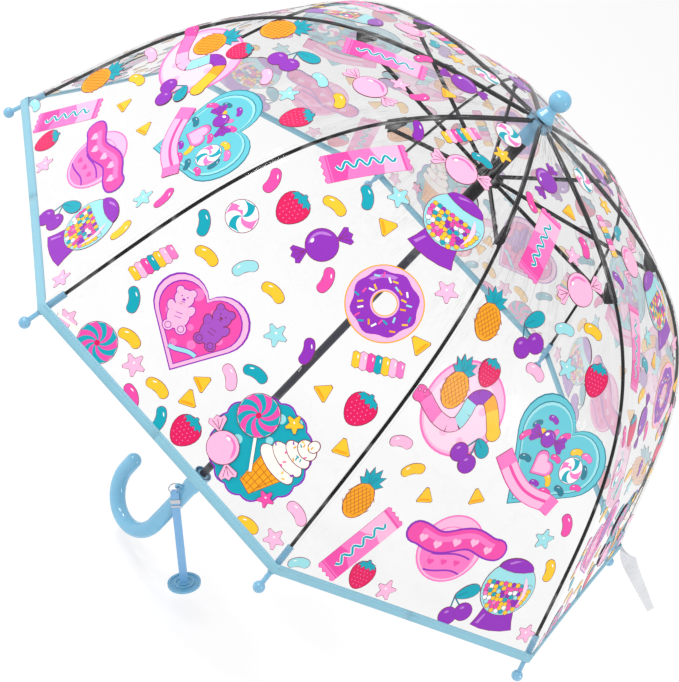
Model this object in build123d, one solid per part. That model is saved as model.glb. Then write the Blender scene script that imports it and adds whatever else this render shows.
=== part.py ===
"""Children's dome umbrella: straight tube shaft, eight folding ribs, clear film canopy, crook handle.

Millimetres. The origin is the middle of the straight hand grip, and +Z runs up the shaft to the ferrule.
The crook opens towards -X. Rib 1 points along +X and the ribs are numbered anticlockwise from above.
Each rib is drawn in its own upright plane as (distance from the shaft's axis, height over the hem).
"""

from build123d import *
import os
from math import atan2, cos, degrees, hypot, radians, sin

os.makedirs("parts", exist_ok=True)

# Driving dimensions
rib_count = 8
hem_radius = 360
hem_z = 266                     # the hem's height over the middle of the hand grip
shaft_radius = 4.0
shaft_bore = 3.4
grip_radius = 8.5
crook_radius = 36
clearance = 0.3

# Linkage, as (radius, height over the hem)
notch_pivot = (10, 295.6)
rib_joint = (171, 258)
joint_slope = 22.4              # degrees below level where the two rib lengths meet
runner_pivot = (12, 228)
rivet_back, rivet_drop = 1.0, 7.5   # the stretcher's rivet, from the rib joint, along and under the rib
closed_rib_slope = 88.0         # degrees below level, from the notch pivot to the rivet, when closed

# Rib sections
channel_width, channel_height, channel_wall = 3.2, 3.2, 0.6
rod_radius = 1.5
rod_end_slope = 66.7
sleeve_length = 25
tip_ball_radius = 5.0
tip_ball_reach = 16             # from the hem corner to the ball's middle
pin_radius = 0.7
cheek_gap, cheek_thickness = 3.2, 0.7

# Canopy film and its binding
film_gap, film_gap_at_hem, film_thickness = 2.8, 4.0, 0.4
panel_gap = 0.2                 # each panel stops this far from the rib's middle plane
film_hole_radius = 4.6
binding_height, binding_thickness = 8, 0.6

# Runner, notch and ferrule
runner_bore = shaft_radius + 0.15
sleeve_radius, sleeve_below = 6.2, 33
neck_radius, neck_above = 6.0, 42
crown_radius, crown_half = 13.5, 4
stretcher_width, stretcher_height = 2.6, 2.8
notch_radius, notch_top, notch_bottom = 12.5, 2.0, 4.5
skirt_radius, skirt_length = 7.5, 18
ferrule_ball_radius, ferrule_ball_z = 10, 321.5

# Handle and lanyard
handle_top, grip_bottom, crook_end_rise = -222, -300, 12
cup_bottom, cup_rim, cup_rim_radius = -236, -214, 9.6
lanyard_angle = 250             # where its lug stands round the handle
lug_z, lug_reach = -241, 12.5
ring_radius, ring_wire = 5.1, 0.6
hang = Vector(0.476, 0.450, -0.756).normalized()       # the way that the lanyard hangs
strap_facing = Vector(0.459, 0.643, 0.613)             # along the strap's width
strap_length, strap_width, strap_thickness = 108, 8.5, 1.2
fold_above, fold_width, fold_radius, fold_thickness = 8, 5.5, 2.1, 1.9   # the strap's end, folded over the ring
strap_start = Vector(3.3, -12.6, -251)
disc_radius, disc_thickness = 17.5, 2.6
strap_angle = 47                # where the closure strap hangs, just past rib 2


def save(shape, name):
    export_step(shape, f"parts/{name}.step")


def lifted(shape):
    """Heights here are over the hem; this puts the shape over the grip's middle."""
    return Pos(0, 0, hem_z) * shape


def on_rib(shape, number):
    return lifted(Rot(0, 0, 360 / rib_count * (number - 1)) * shape)


# Rib curves

def along(start, slope, distance):
    return (start[0] + distance * cos(radians(slope)), start[1] - distance * sin(radians(slope)))


rod_end = along((hem_radius, 0), rod_end_slope, -sleeve_length)
upper_curve = [
    notch_pivot,
    along(notch_pivot, 9.8, 56),
    along(rib_joint, joint_slope, -58),
    rib_joint,
]
lower_curve = [
    rib_joint,
    along(rib_joint, joint_slope, 112),
    along(rod_end, rod_end_slope, -108),
    rod_end,
]


def parallel(curve, near, far):
    """The Bezier curve's control points moved outwards, by near at its start and far at its end."""
    legs = [atan2(b[1] - a[1], b[0] - a[0]) for a, b in zip(curve, curve[1:])]
    turns = [legs[0], *[(a + b) / 2 for a, b in zip(legs, legs[1:])], legs[-1]]
    out = []
    for i, (point, turn) in enumerate(zip(curve, turns)):
        leg = legs[min(i, len(legs) - 1)]
        gap = (near + (far - near) * i / (len(curve) - 1)) / cos(leg - turn)
        out.append((point[0] - gap * sin(turn), point[1] + gap * cos(turn)))
    return out


def bowed_bar(curve, low, high, width):
    """A bar that follows the curve, between two distances from it."""
    bottom, top = parallel(curve, low, low), parallel(curve, high, high)
    edges = [Bezier(*bottom), Line(bottom[-1], top[-1]), Bezier(*top), Line(top[0], bottom[0])]
    return extrude(Plane.XZ * make_face(edges), amount=width / 2, both=True)


def across(point, radius, width):
    """A round pin or eye through the rib's plane."""
    return Pos(point[0], 0, point[1]) * Rot(90, 0, 0) * Cylinder(radius, width)


def slab(r_low, r_high):
    return Pos((r_low + r_high) / 2, 0, 200) * Box(r_high - r_low, 20, 600)


def joint_plane(point, slope):
    """X along the rib's slope, Y away from the shaft, drawn in the rib's plane."""
    direction = (cos(radians(slope)), 0, -sin(radians(slope)))
    return Plane(origin=(point[0], 0, point[1]), x_dir=direction, z_dir=(0, -1, 0))


rivet_place = (joint_plane(rib_joint, joint_slope) * Pos(-rivet_back, -rivet_drop, 0)).position
rivet = (rivet_place.X, rivet_place.Z)


# One folding rib, drawn along +X

def make_rib_upper():
    half = channel_height / 2
    bar = bowed_bar(upper_curve, -half, half, channel_width) & slab(16, rib_joint[0])
    groove = bowed_bar(upper_curve, -half - 1, half - channel_wall, channel_width - 2 * channel_wall)
    tongue = bowed_bar(upper_curve, -1.2, 1.2, 2.0) & slab(notch_pivot[0], 17)
    body = (bar - (groove & slab(24, 150))) + tongue + across(notch_pivot, 1.7, 2.0)
    return body - across(notch_pivot, 0.8, 4) - across(rib_joint, 2.4, 8)


def make_rib_lower():
    stub = (hem_radius, 0)
    path = Wire([Edge.make_bezier(*[(r, 0, z) for r, z in lower_curve]),
                 Edge.make_line((rod_end[0], 0, rod_end[1]), (stub[0], 0, stub[1]))])
    start = Plane(origin=(rib_joint[0], 0, rib_joint[1]),
                  z_dir=(cos(radians(joint_slope)), 0, -sin(radians(joint_slope))))
    rod = sweep(start * Circle(rod_radius), path=path)
    eye = across(rib_joint, 1.9, 2.6)
    return rod + eye - across(rib_joint, pin_radius + 0.1, 8)


def make_bracket():
    plane = joint_plane(rib_joint, joint_slope)
    outline = [(-15, 1.2), (3.4, 1.2), (3.4, -3), (1.6, -9.6), (-3.6, -9.6), (-15, -3.4)]
    cheeks = extrude(plane * make_face(Polyline(*outline, close=True)), amount=cheek_gap / 2 + cheek_thickness,
                     both=True)
    inside = extrude(plane * Pos(-5, -4) * Rectangle(26, 14), amount=cheek_gap / 2, both=True)
    web = extrude(plane * Pos(-9.8, -2.6) * Rectangle(10, 1.4), amount=cheek_gap / 2, both=True)
    clip = (cheeks - inside) + (web & cheeks)
    clip -= across(rib_joint, pin_radius, 10)
    clip -= across(rivet, pin_radius, 10)
    pin_length = cheek_gap + 2 * cheek_thickness + 0.8
    return Compound(children=[clip, across(rib_joint, pin_radius, pin_length), across(rivet, pin_radius, pin_length)])


def make_stretcher():
    reach = hypot(rivet[0] - runner_pivot[0], rivet[1] - runner_pivot[1])
    slope = degrees(atan2(rivet[1] - runner_pivot[1], rivet[0] - runner_pivot[0]))
    # X from the rivet towards the runner, Z across the rib's plane
    place = Pos(rivet[0], 0, rivet[1]) * Rot(0, 180 - slope, 0) * Rot(90, 0, 0)
    bar = Pos(reach / 2, 0, 0) * Box(reach, stretcher_height, stretcher_width)
    groove = Pos(reach / 2, -0.7, 0) * Box(reach - 24, stretcher_height, stretcher_width - 1.0)
    end = Cylinder(stretcher_height / 2 + 0.3, stretcher_width)
    return place * (bar - groove + end - Cylinder(pin_radius + 0.1, 10))


def make_rib_tip():
    end_plane = Plane(origin=(hem_radius, 0, 0),
                      z_dir=(cos(radians(rod_end_slope)), 0, -sin(radians(rod_end_slope))))
    sleeve = Pos(0, 0, -sleeve_length / 2 + 0.75) * Cylinder(2.9, sleeve_length + 1.5)
    neck = Pos(0, 0, 7) * Cylinder(2.1, 12)
    ball = Pos(0, 0, tip_ball_reach) * Sphere(tip_ball_radius)
    bore = Pos(0, 0, -sleeve_length / 2) * Cylinder(rod_radius + 0.02, sleeve_length + 0.04)
    return end_plane * (fillet_rim(sleeve) + neck + ball - bore)


def fillet_rim(cylinder):
    return fillet(cylinder.edges().sort_by(Axis.Z)[0], 0.6)


# Canopy

def film_layer(low, high, start_low):
    """A layer over the ribs, from the crown to the hem, between two distances outside the film's inner face."""
    squeeze = cos(radians(180 / rib_count))
    end = along(rod_end, rod_end_slope, sleeve_length)

    def side(extra):
        gap, gap_hem = film_gap + extra, film_gap_at_hem + extra
        upper, lower = parallel(upper_curve, gap, gap), parallel(lower_curve, gap, gap_hem)
        crown = along(upper[0], 9.8, start_low - upper[0][0])
        last = (end[0] + gap_hem * sin(radians(rod_end_slope)), end[1] + gap_hem * cos(radians(rod_end_slope)))
        return [[(r * squeeze, z) for r, z in part] for part in ([crown, upper[0]], upper, lower, [lower[-1], last])]

    inner, outer = side(low), side(high)
    edges = []
    for part in inner + outer:
        edges.append(Line(*part) if len(part) == 2 else Bezier(*part))
    edges.append(Line(inner[0][0], outer[0][0]))
    edges.append(Line(inner[-1][-1], outer[-1][-1]))
    return edges


def wedge(reach):
    """The slice of space between two neighbouring ribs, with its middle along +X."""
    half = radians(180 / rib_count)
    start = panel_gap / sin(half)
    corner = (start + reach, reach * sin(half) / cos(half))
    outline = Polyline((start, 0), corner, (corner[0], -corner[1]), close=True)
    return extrude(Pos(0, 0, -100) * make_face(outline), amount=500)


def make_canopy_panel():
    width = 2 * hem_radius
    slice_of_space = wedge(1.2 * hem_radius)
    film = extrude(Plane.XZ * make_face(film_layer(0, film_thickness, film_hole_radius)), amount=width / 2, both=True)
    film = (film & slice_of_space) - Cylinder(film_hole_radius, 2000)
    # the binding is a ribbon folded along the hem, outside the film
    squeeze = cos(radians(180 / rib_count))
    near, far = film_gap_at_hem + film_thickness, film_gap_at_hem + film_thickness + binding_thickness
    corners = []
    for distance, gap in ((-binding_height, near), (0, near), (0, far), (-binding_height, far)):
        r, z = along((hem_radius, 0), rod_end_slope, distance)
        corners.append(((r + gap * sin(radians(rod_end_slope))) * squeeze, z + gap * cos(radians(rod_end_slope))))
    ribbon = extrude(Plane.XZ * make_face(Polyline(*corners, close=True)), amount=width / 2, both=True)
    return Rot(0, 0, 180 / rib_count) * Compound(children=[film, ribbon & slice_of_space])


def make_closure_strap():
    """The film strap that ties the closed umbrella, sewn at the hem beside rib 2."""
    turn = radians(strap_angle)
    reach = hem_radius + 6
    start = Vector(reach * cos(turn), reach * sin(turn), 3)
    way = Vector(0.603, 0.647, -0.462).normalized()
    plane = Plane(origin=start, x_dir=way, z_dir=way.cross(Vector(0, 0, 1)).cross(way))
    outline = Polyline((0, -10), (70, -8), (92, -4), (92, 4), (70, 8), (0, 10), close=True)
    return extrude(plane * make_face(outline), amount=0.5)


# Shaft group

def ring_of(shape, count=rib_count):
    return [Rot(0, 0, 360 / count * i) * shape for i in range(count)]


catch_tops = {"top": runner_pivot[1] - sleeve_below - 0.6, "bottom": -44.0}
catch_height = 7


def make_catch(top):
    leaf = Pos(0, -2.85, top - 12) * Box(1.6, 0.5, 26)
    nose = Polyline((-3.0, top), (-4.9, top), (-4.9, top - 1.5), (-3.6, top - catch_height),
                    (-3.0, top - catch_height), close=True)
    return leaf + extrude(Plane.YZ * make_face(nose), amount=0.8, both=True)


def make_shaft_tube():
    bottom, top = handle_top - 20, notch_pivot[1] + 4.0
    tube = Cylinder(shaft_radius, top - bottom) - Cylinder(shaft_bore, top - bottom)
    tube = Pos(0, 0, (top + bottom) / 2) * tube
    for catch_top in catch_tops.values():
        tube -= Pos(0, -shaft_radius, catch_top - catch_height / 2) * Box(2.2, 3, catch_height + 0.8)
    return tube


def make_top_notch():
    pivot_r, pivot_z = notch_pivot
    flange_height = notch_top + notch_bottom
    flange = Pos(0, 0, pivot_z + (notch_top - notch_bottom) / 2) * Cylinder(notch_radius, flange_height)
    skirt = Pos(0, 0, pivot_z - notch_bottom - skirt_length / 2) * Cylinder(skirt_radius, skirt_length)
    slot = Pos(8 + 4, 0, pivot_z) * Box(8, 2.6, 30)
    body = flange + skirt - Cylinder(shaft_radius, 2000)
    wire_ring = Pos(0, 0, pivot_z) * Torus(pivot_r, 0.5)
    for one in ring_of(slot):
        body -= one
    body -= wire_ring
    return Compound(children=[body, wire_ring])


def make_ferrule():
    seat = notch_pivot[1] + 5.0
    outline = [(0, seat), (9, seat), (9, seat + 2.5), (5.2, seat + 9), (5.0, ferrule_ball_z - 5), (0, ferrule_ball_z - 5)]
    body = revolve(Plane.XZ * make_face(Polyline(*outline, close=True)), axis=Axis.Z)
    stem = Pos(0, 0, seat - 7) * Cylinder(shaft_bore - 0.05, 15)
    return body + stem + Pos(0, 0, ferrule_ball_z) * Sphere(ferrule_ball_radius)


def make_runner():
    middle = runner_pivot[1]
    crown = Pos(0, 0, middle) * Cylinder(crown_radius, 2 * crown_half)
    sleeve = Pos(0, 0, middle - sleeve_below / 2) * Cylinder(sleeve_radius, sleeve_below)
    neck = Pos(0, 0, middle + neck_above / 2) * Cylinder(neck_radius, neck_above)
    body = fillet(crown.edges().filter_by(GeomType.CIRCLE), 1.2) + sleeve + neck
    slot = Pos(6.7 + 5, 0, middle) * Box(10, stretcher_width + 2 * clearance, 30)
    for one in ring_of(slot):
        body -= one
    body -= Cylinder(runner_bore, 2000)
    return body - Pos(0, -4, middle) * Box(2.6, 2.4, 200)     # the keyway that passes the catches


def make_handle():
    straight = handle_top - grip_bottom
    far = -2 * crook_radius
    grip = Pos(0, 0, (handle_top + grip_bottom) / 2) * Cylinder(grip_radius, straight)
    bend = Rot(90, 0, 0) * Torus(crook_radius, grip_radius)
    bend = Pos(-crook_radius, 0, grip_bottom) * (bend & Pos(0, 0, -50) * Box(200, 200, 100))
    rise = Pos(far, 0, grip_bottom + crook_end_rise / 2) * Cylinder(grip_radius, crook_end_rise)
    end = Pos(far, 0, grip_bottom + crook_end_rise) * Sphere(grip_radius)
    socket = Pos(0, 0, handle_top - 10) * Cylinder(shaft_radius, 20)
    lug = Pos(7.6 + 4, 0, lug_z) * Box(8, 2.4, 6)
    lug = fillet(lug.edges().filter_by(Axis.Y).group_by(Axis.X)[-1], 2.4)
    lug -= Pos(lug_reach, 0, lug_z) * Rot(90, 0, 0) * Cylinder(1.5, 6)
    return grip + bend + rise + end + Rot(0, 0, lanyard_angle) * lug - socket


def make_tip_cup():
    """The flared cup round the handle's top, with the small stop collar that stands in it."""
    outline = [(grip_radius, cup_bottom), (grip_radius + 0.9, cup_bottom), (cup_rim_radius, cup_rim),
               (cup_rim_radius - 0.8, cup_rim), (grip_radius, handle_top)]
    cup = revolve(Plane.XZ * make_face(Polyline(*outline, close=True)), axis=Axis.Z)
    lug_gap = Rot(0, 0, lanyard_angle) * Pos(10, 0, lug_z) * Box(12, 3, 12)
    collar = Pos(0, 0, handle_top + 3.5) * (Cylinder(6.2, 7) - Cylinder(shaft_radius, 7))
    return Compound(children=[cup - lug_gap, collar])


# Lanyard

lug_hole = (Rot(0, 0, lanyard_angle) * Pos(lug_reach, 0, lug_z)).position
fold_middle = strap_start - hang * fold_above


def lanyard_ring_place():
    """A ring through the lug's hole and the strap's folded end, beside the handle."""
    tangent = Vector(-sin(radians(lanyard_angle)), cos(radians(lanyard_angle)), 0)
    towards = fold_middle - lug_hole
    outward = (towards - tangent * towards.dot(tangent)).normalized()
    return Plane(origin=lug_hole + outward * ring_radius, x_dir=tangent, z_dir=tangent.cross(outward))


def bar_between(start, end, width, thickness):
    way = (end - start).normalized()
    face = strap_facing - way * strap_facing.dot(way)
    plane = Plane(origin=start, x_dir=face.normalized(), z_dir=way)
    return extrude(plane * Rectangle(width, thickness), amount=(end - start).length)


def make_lanyard():
    crimp_end = strap_start + hang * 6
    strap_end = strap_start + hang * strap_length
    disc_plane = Plane(origin=strap_end - hang * disc_thickness, z_dir=hang)
    width_way = (strap_facing - hang * strap_facing.dot(hang)).normalized()
    fold = Plane(origin=fold_middle, x_dir=hang, z_dir=width_way) * Cylinder(fold_radius, fold_width)
    doubled = bar_between(fold_middle + hang * 1.2, crimp_end, strap_width, fold_thickness)
    single = bar_between(crimp_end, disc_plane.origin, strap_width, strap_thickness)
    strap = fold + doubled + single - lanyard_ring_place() * Torus(ring_radius, ring_wire + 0.15)
    crimps = bar_between(strap_start + hang * 1.6, crimp_end, strap_width + 1.4, 3.2) - strap
    band = bar_between(crimp_end + hang * 3, crimp_end + hang * 5, strap_width + 1.1, 2.2) - strap
    ring = lanyard_ring_place() * Torus(ring_radius, ring_wire)
    disc = disc_plane * (Pos(0, 0, disc_thickness / 2) * Cylinder(disc_radius, disc_thickness))
    for inner, outer in ((5.6, 8.6), (10.6, 14.6)):
        disc -= disc_plane * (Cylinder(outer, 2) - Cylinder(inner, 2))
    save(lifted(Compound(children=[ring, crimps, band])), "lanyard_fittings")
    save(lifted(strap), "lanyard_strap")
    save(lifted(disc), "lanyard_disc")


rib_upper, rib_lower, bracket = make_rib_upper(), make_rib_lower(), make_bracket()
stretcher, rib_tip, canopy_panel = make_stretcher(), make_rib_tip(), make_canopy_panel()
for number in range(1, rib_count + 1):
    save(on_rib(rib_upper, number), f"rib_upper_{number}")
    save(on_rib(rib_lower, number), f"rib_lower_{number}")
    save(on_rib(bracket, number), f"rib_bracket_{number}")
    save(on_rib(stretcher, number), f"stretcher_{number}")
    save(on_rib(rib_tip, number), f"rib_tip_{number}")
    save(on_rib(canopy_panel, number), f"canopy_panel_{number}")

save(lifted(make_closure_strap()), "closure_strap")
save(lifted(make_shaft_tube()), "shaft_tube")
save(lifted(make_top_notch()), "top_notch")
save(lifted(make_ferrule()), "ferrule")
save(lifted(make_runner()), "runner")
save(lifted(make_handle()), "handle")
save(lifted(make_tip_cup()), "tip_cup")
for place, top in catch_tops.items():
    save(lifted(make_catch(top)), f"catch_spring_{place}")
make_lanyard()

# The fold, from open to closed, with every joint in proportion to the runner's travel
open_rib_slope = degrees(atan2(notch_pivot[1] - rivet[1], rivet[0] - notch_pivot[0]))
open_stretcher_slope = degrees(atan2(rivet[1] - runner_pivot[1], rivet[0] - runner_pivot[0]))
rib_reach = hypot(rivet[0] - notch_pivot[0], rivet[1] - notch_pivot[1])
stretcher_reach = hypot(rivet[0] - runner_pivot[0], rivet[1] - runner_pivot[1])
closed_rivet = along(notch_pivot, closed_rib_slope, rib_reach)
closed_stretcher_slope = 90 - degrees((closed_rivet[0] - runner_pivot[0]) / stretcher_reach)
runner_travel = runner_pivot[1] - along(closed_rivet, closed_stretcher_slope, stretcher_reach)[1]
print("rivet", [round(x, 3) for x in rivet], "rib reach", round(rib_reach, 3))
print("rib fold", round(closed_rib_slope - open_rib_slope, 3))
print("stretcher swing", round(-(closed_rib_slope - open_rib_slope + closed_stretcher_slope - open_stretcher_slope), 3))
print("runner travel", round(runner_travel, 3))
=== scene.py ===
from math import atan2, cos, hypot, pi, radians, sin, tan
from random import Random

import bpy
from mathutils import Matrix, Vector
from mathutils.geometry import tessellate_polygon


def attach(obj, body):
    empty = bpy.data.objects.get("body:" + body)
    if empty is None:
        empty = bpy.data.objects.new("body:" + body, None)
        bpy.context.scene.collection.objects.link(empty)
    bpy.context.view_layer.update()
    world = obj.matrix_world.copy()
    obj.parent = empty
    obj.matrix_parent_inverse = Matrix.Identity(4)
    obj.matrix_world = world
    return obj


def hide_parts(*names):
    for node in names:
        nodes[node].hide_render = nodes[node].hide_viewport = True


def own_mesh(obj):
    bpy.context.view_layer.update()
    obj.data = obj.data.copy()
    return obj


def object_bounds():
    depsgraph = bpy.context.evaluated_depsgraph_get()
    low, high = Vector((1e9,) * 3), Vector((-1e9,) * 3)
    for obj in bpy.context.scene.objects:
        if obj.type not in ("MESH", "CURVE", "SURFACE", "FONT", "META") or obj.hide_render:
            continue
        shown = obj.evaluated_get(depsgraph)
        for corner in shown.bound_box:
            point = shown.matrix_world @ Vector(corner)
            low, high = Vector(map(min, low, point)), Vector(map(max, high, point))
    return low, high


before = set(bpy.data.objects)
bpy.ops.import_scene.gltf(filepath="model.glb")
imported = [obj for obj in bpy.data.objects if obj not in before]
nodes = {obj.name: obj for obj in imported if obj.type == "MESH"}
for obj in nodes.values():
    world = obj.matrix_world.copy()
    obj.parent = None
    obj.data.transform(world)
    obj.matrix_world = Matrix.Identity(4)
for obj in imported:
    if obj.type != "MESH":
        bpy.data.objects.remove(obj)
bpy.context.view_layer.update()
scene = bpy.context.scene
mm = 0.001
print("frame loaded:", len(nodes), "nodes")


class Value:  # one output socket, so that masks are written as sums and products
    def __init__(self, tree, socket):
        self.tree, self.socket = tree, socket

    def mathNode(self, operation, first, second=None):
        node = self.tree.nodes.new("ShaderNodeMath")
        node.operation = operation
        for slot, item in enumerate((first, second)):
            if isinstance(item, Value):
                self.tree.links.new(item.socket, node.inputs[slot])
            elif item is not None:
                node.inputs[slot].default_value = item
        return Value(self.tree, node.outputs[0])

    def __add__(self, other): return self.mathNode("ADD", self, other)
    def __radd__(self, other): return self.mathNode("ADD", other, self)
    def __sub__(self, other): return self.mathNode("SUBTRACT", self, other)
    def __rsub__(self, other): return self.mathNode("SUBTRACT", other, self)
    def __mul__(self, other): return self.mathNode("MULTIPLY", self, other)
    def __rmul__(self, other): return self.mathNode("MULTIPLY", other, self)
    def __truediv__(self, other): return self.mathNode("DIVIDE", self, other)
    def __rtruediv__(self, other): return self.mathNode("DIVIDE", other, self)
    def __pow__(self, other): return self.mathNode("POWER", self, other)
    def __abs__(self): return self.mathNode("ABSOLUTE", self)
    def __gt__(self, other): return self.mathNode("GREATER_THAN", self, other)
    def __lt__(self, other): return self.mathNode("LESS_THAN", self, other)

    def sine(self): return self.mathNode("SINE", self)

    def over(self, low, high):  # 0 below low, 1 above high, straight between
        held = (self - low) / (high - low)
        return held.mathNode("MINIMUM", held.mathNode("MAXIMUM", held, 0.0), 1.0)

    def near(self, middle, sharpness, low=0.0):  # 1 at middle, falling to 0 on both sides
        return (1 - abs(self - middle) * sharpness).over(low, 1.0)


class Finish:  # a material with one shader, and one method that adds any node to it
    def __init__(self, name, **fixed):
        self.material = bpy.data.materials.new(name)
        self.material.use_nodes = True
        self.tree = self.material.node_tree
        self.shader = self.tree.nodes["Principled BSDF"]
        for socketName, value in fixed.items():
            self.shader.inputs[socketName.replace("_", " ")].default_value = value

    def feed(self, socket, value):
        if isinstance(value, Value):
            self.tree.links.new(value.socket, socket)
        else:
            socket.default_value = value

    def node(self, kind, settings=None, values=None, output=0):
        made = self.tree.nodes.new(kind)
        for name, setting in (settings or {}).items():
            if name == "stops":
                ramp = made.color_ramp.elements
                while len(ramp) < len(setting):
                    ramp.new(0.5)
                for element, (place, colour) in zip(ramp, setting):
                    element.position, element.color = place, (*colour, 1)
            else:
                setattr(made, name, setting)
        for name, value in (values or {}).items():
            self.feed(made.inputs[name], value)
        return Value(self.tree, made.outputs[output])

    def place(self):
        return self.node("ShaderNodeTexCoord", output="Object")

    def ownMap(self, name):
        return self.node("ShaderNodeUVMap", {"uv_map": name})

    def part(self, vector, axis):
        return self.node("ShaderNodeSeparateXYZ", None, {"Vector": vector}, axis)

    def noise(self, vector, scale, detail=3.0, roughness=0.5, stretch=(1, 1, 1)):
        if stretch != (1, 1, 1):
            vector = self.node("ShaderNodeMapping", None, {"Vector": vector, "Scale": stretch})
        return self.node("ShaderNodeTexNoise", None,
                         {"Vector": vector, "Scale": scale, "Detail": detail, "Roughness": roughness})

    def blendColour(self, factor, first, second):
        made = self.tree.nodes.new("ShaderNodeMix")
        made.data_type = "RGBA"
        for slot, value in ((0, factor), (6, first), (7, second)):
            if not isinstance(value, Value) and slot:
                value = (*value[:3], 1)
            self.feed(made.inputs[slot], value)
        return Value(self.tree, made.outputs[2])

    def bump(self, height, depth, strength=1.0):
        return self.node("ShaderNodeBump", None, {"Height": height, "Distance": depth, "Strength": strength})

    def surface(self, **fed):
        for socketName, value in fed.items():
            self.feed(self.shader.inputs[socketName.replace("_", " ")], value)
        return self.material


def screenColour(*channels):  # from 0-255 screen values to the linear ones that shaders use
    shares = [channel / 255 for channel in channels]
    return tuple(c / 12.92 if c <= 0.04045 else ((c + 0.055) / 1.055) ** 2.4 for c in shares)


def shade(colour, amount):
    return tuple(min(1.0, c * amount) for c in colour)


def mouldedPlastic(name, colour, gloss, softness=0.0, clearness=0.0, grain=900, grainDepth=0.00003,
                   coat=0.35, specular=0.5):
    finish = Finish(name, Subsurface_Weight=softness, Subsurface_Scale=0.004, Transmission_Weight=clearness,
                    IOR=1.47, Coat_Weight=coat, Coat_Roughness=0.05, Specular_IOR_Level=specular)
    place = finish.place()
    clouds = finish.noise(place, 22, 3)
    fine = finish.noise(place, grain, 2)
    scuffs = finish.noise(place, 190, 4, 0.65, (1, 1, 0.25)).over(0.62, 0.74)
    mottled = finish.blendColour(clouds, shade(colour, 0.93), shade(colour, 1.06))
    return finish.surface(
        Base_Color=finish.blendColour(scuffs * 0.25, mottled, shade(colour, 1.18)),
        Roughness=gloss + clouds * 0.06 + scuffs * 0.16 + fine * 0.04,
        Normal=finish.bump(fine + scuffs * 0.6, grainDepth, 0.6))


def paintedMetal(name, colour, gloss, metal, streak=(1, 1, 1), specular=0.5):
    finish = Finish(name, Specular_IOR_Level=specular)
    place = finish.place()
    drawn = finish.noise(place, 700, 3, 0.6, streak)
    rubbed = finish.noise(place, 60, 4, 0.7).over(0.60, 0.72)
    specks = finish.noise(place, 2600, 1)
    return finish.surface(
        Base_Color=finish.blendColour(rubbed * 0.35 + specks * 0.12, colour, shade(colour, 2.2)),
        Metallic=metal + rubbed * 0.1,
        Roughness=gloss + drawn * 0.12 + rubbed * 0.1,
        Normal=finish.bump(drawn + specks * 0.4, 0.00002, 0.5))


softBlue = screenColour(124, 188, 220)
finishes = {
    "handleBlue": mouldedPlastic("handleBlue", softBlue, 0.1, softness=0.1),
    "tipBlue": mouldedPlastic("tipBlue", screenColour(132, 190, 222), 0.18, softness=0.2, clearness=0.12),
    "discBlue": mouldedPlastic("discBlue", screenColour(120, 190, 226), 0.14, softness=0.2, clearness=0.15),
    "strapBlue": mouldedPlastic("strapBlue", screenColour(122, 178, 222), 0.3, softness=0.15, grain=1600),
    "blackPlastic": mouldedPlastic("blackPlastic", screenColour(14, 13, 15), 0.34, coat=0.05, grain=1400,
                                   grainDepth=0.00005, specular=0.2),
    "shaftGrey": paintedMetal("shaftGrey", screenColour(46, 46, 58), 0.3, 0.25, (1, 1, 0.02)),
    "channelGrey": paintedMetal("channelGrey", screenColour(15, 14, 17), 0.24, 0.0, specular=0.16),
    "rodBlack": paintedMetal("rodBlack", screenColour(9, 8, 10), 0.28, 0.0, specular=0.14),
    "bracketBlack": paintedMetal("bracketBlack", screenColour(11, 10, 12), 0.34, 0.0, specular=0.2),
    "springSteel": paintedMetal("springSteel", screenColour(150, 150, 155), 0.22, 0.95),
    "brightSteel": paintedMetal("brightSteel", screenColour(190, 192, 198), 0.12, 1.0),
}
finishOf = {
    "shaft_tube": "shaftGrey", "top_notch": "tipBlue", "ferrule": "handleBlue", "handle": "handleBlue",
    "tip_cup": "handleBlue", "runner": "blackPlastic", "rib_upper": "channelGrey", "rib_lower": "rodBlack",
    "rib_bracket": "bracketBlack", "rib_tip": "tipBlue", "stretcher": "channelGrey",
    "catch_spring": "springSteel", "lanyard_strap": "strapBlue", "lanyard_fittings": "brightSteel",
    "lanyard_disc": "discBlue",
}
for nodeName, node in nodes.items():
    for start, finishName in finishOf.items():
        if nodeName.startswith(start):
            node.data.materials.clear()
            node.data.materials.append(finishes[finishName])
print("hard pieces finished")


canopy = {
    "ribs": 8,
    "hemHeight": 266.0,      # mm over the middle of the grip
    "hemRadius": 360.0,
    "crownRadius": 4.6,      # the hole round the ferrule
    "gap": 3.0,              # from the rib's middle line out to the film
    "gapAtHem": 4.2,
    "sag": 1.2,              # how far the film dips between two ribs at the hem
    "sagWidth": 138.0,       # half the width of a panel where it dips so far
    "columns": 8,            # from a rib to the middle of a panel
    "rowStep": 7.0,
    "closedShare": 0.22,     # how much of its width the film keeps when closed
}
halfTurn = radians(180 / canopy["ribs"])
squeeze = cos(halfTurn)


def along(start, slope, distance):
    return (start[0] + distance * cos(radians(slope)), start[1] - distance * sin(radians(slope)))


notchPivot, ribJoint, jointSlope, endSlope = (10, 295.6), (171, 258), 22.4, 66.7
rodEnd = along((canopy["hemRadius"], 0), endSlope, -25)
upperCurve = [notchPivot, along(notchPivot, 9.8, 56), along(ribJoint, jointSlope, -58), ribJoint]
lowerCurve = [ribJoint, along(ribJoint, jointSlope, 112), along(rodEnd, endSlope, -108), rodEnd]


def bezier(points, t):
    weights = ((1 - t) ** 3, 3 * (1 - t) ** 2 * t, 3 * (1 - t) * t * t, t ** 3)
    return tuple(sum(w * p[axis] for w, p in zip(weights, points)) for axis in (0, 1))


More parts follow.
